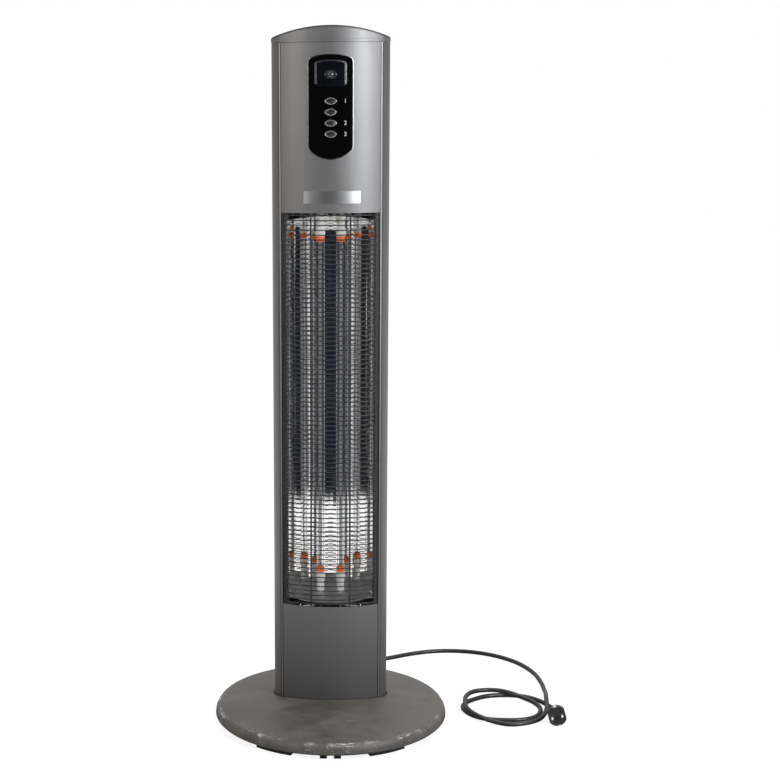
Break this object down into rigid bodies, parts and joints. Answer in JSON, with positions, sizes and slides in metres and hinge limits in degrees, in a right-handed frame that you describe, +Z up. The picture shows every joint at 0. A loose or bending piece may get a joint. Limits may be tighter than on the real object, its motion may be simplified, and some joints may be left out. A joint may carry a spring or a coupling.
{
  "type": "infrared patio heater tower",
  "caption": "Upright infrared heater: an oval metal column with quartz lamps behind a wire grille, a push-button fascia on its head, a round weighted base and a mains lead.",
  "frame": {"origin": "on the floor under the middle of the round base", "axes": "+Z up along the column, -Y out of the heater's front, +X to the right of someone who looks at the front"},
  "size_m": [0.6768, 0.6115, 1.3188],
  "materials": {
    "anodised_aluminium": "satin anodised",
    "panel_paint": "satin metallic grey",
    "black_paint": "black powder coat",
    "bright_sheet": "bright rolled",
    "quartz": "clear",
    "carbon_strip": "matt carbon",
    "orange_seal": "orange",
    "white_ceramic": "matt white",
    "zinc_steel": "zinc plated",
    "ballast_iron": "raw cast",
    "base_paint": "satin textured dark grey",
    "cast_foot": "as cast",
    "gloss_black": "high gloss",
    "silver_trim": "silvered",
    "display_window": "smoked gloss",
    "lens_plastic": "dark clear",
    "ring_chrome": "polished",
    "button_plastic": "black gloss",
    "board_laminate": "green laminate",
    "component_plastic": "black moulded",
    "wire_sleeve": "woven glass sleeve",
    "black_rubber": "matt",
    "moulded_black": "satin moulded",
    "pin_nickel": "nickel plated"
  },
  "bodies": {
    "housing": {"base_ballast": "ballast_iron", "base_bolts": "zinc_steel", "base_pads": "black_rubber", "base_plate": "zinc_steel", "base_screws": "zinc_steel", "base_shell": "base_paint", "board_posts": "button_plastic", "button_rings": "ring_chrome", "cable_gland": "moulded_black", "control_board": "board_laminate", "control_fascia": "gloss_black", "cord_coil": "black_rubber", "display_trim": "silver_trim", "display_window": "display_window", "fascia_bevel": "silver_trim", "gland_nut": "moulded_black", "grille_channel_left": "black_paint", "grille_channel_right": "black_paint", "grille_uprights": "black_paint", "grille_wires": "black_paint", "lamp_caps": "white_ceramic", "lamp_carrier_bottom": "zinc_steel", "lamp_carrier_top": "zinc_steel", "lamp_leads": "wire_sleeve", "lamp_seals": "orange_seal", "lamp_strips": "carbon_strip", "lamp_tube_left": "quartz", "lamp_tube_right": "quartz", "lower_front_panel": "panel_paint", "mains_terminals": "component_plastic", "panel_screws": "zinc_steel", "plug_body": "moulded_black", "plug_pins": "pin_nickel", "power_board": "board_laminate", "power_components": "component_plastic", "power_cord": "black_rubber", "power_standoffs": "zinc_steel", "power_terminals": "component_plastic", "rear_panel": "panel_paint", "receiver_lens": "lens_plastic", "reflector": "bright_sheet", "reflector_end_bottom": "bright_sheet", "reflector_end_top": "bright_sheet", "side_rail_left": "anodised_aluminium", "side_rail_right": "anodised_aluminium", "socket_gasket": "black_rubber", "supply_lead": "wire_sleeve", "tact_switches": "button_plastic", "thermal_cutout": "zinc_steel", "tip_switch": "component_plastic", "top_collar": "anodised_aluminium", "top_lid": "black_paint", "tower_foot": "cast_foot", "upper_front_panel": "panel_paint", "wiring_loom": "wire_sleeve"},
    "button_upper": {"button_upper": "button_plastic"},
    "button_second": {"button_second": "button_plastic"},
    "button_third": {"button_third": "button_plastic"},
    "button_lower": {"button_lower": "button_plastic"}
  },
  "joints": [
    {"name": "upper_press", "type": "slide", "parent": "housing", "child": "button_upper", "axis": [0, 1, 0], "range_m": [0, 0.0012], "stiffness_N_per_m": 400},
    {"name": "second_press", "type": "slide", "parent": "housing", "child": "button_second", "axis": [0, 1, 0], "range_m": [0, 0.0012], "stiffness_N_per_m": 400},
    {"name": "third_press", "type": "slide", "parent": "housing", "child": "button_third", "axis": [0, 1, 0], "range_m": [0, 0.0012], "stiffness_N_per_m": 400},
    {"name": "lower_press", "type": "slide", "parent": "housing", "child": "button_lower", "axis": [0, 1, 0], "range_m": [0, 0.0012], "stiffness_N_per_m": 400}
  ]
}
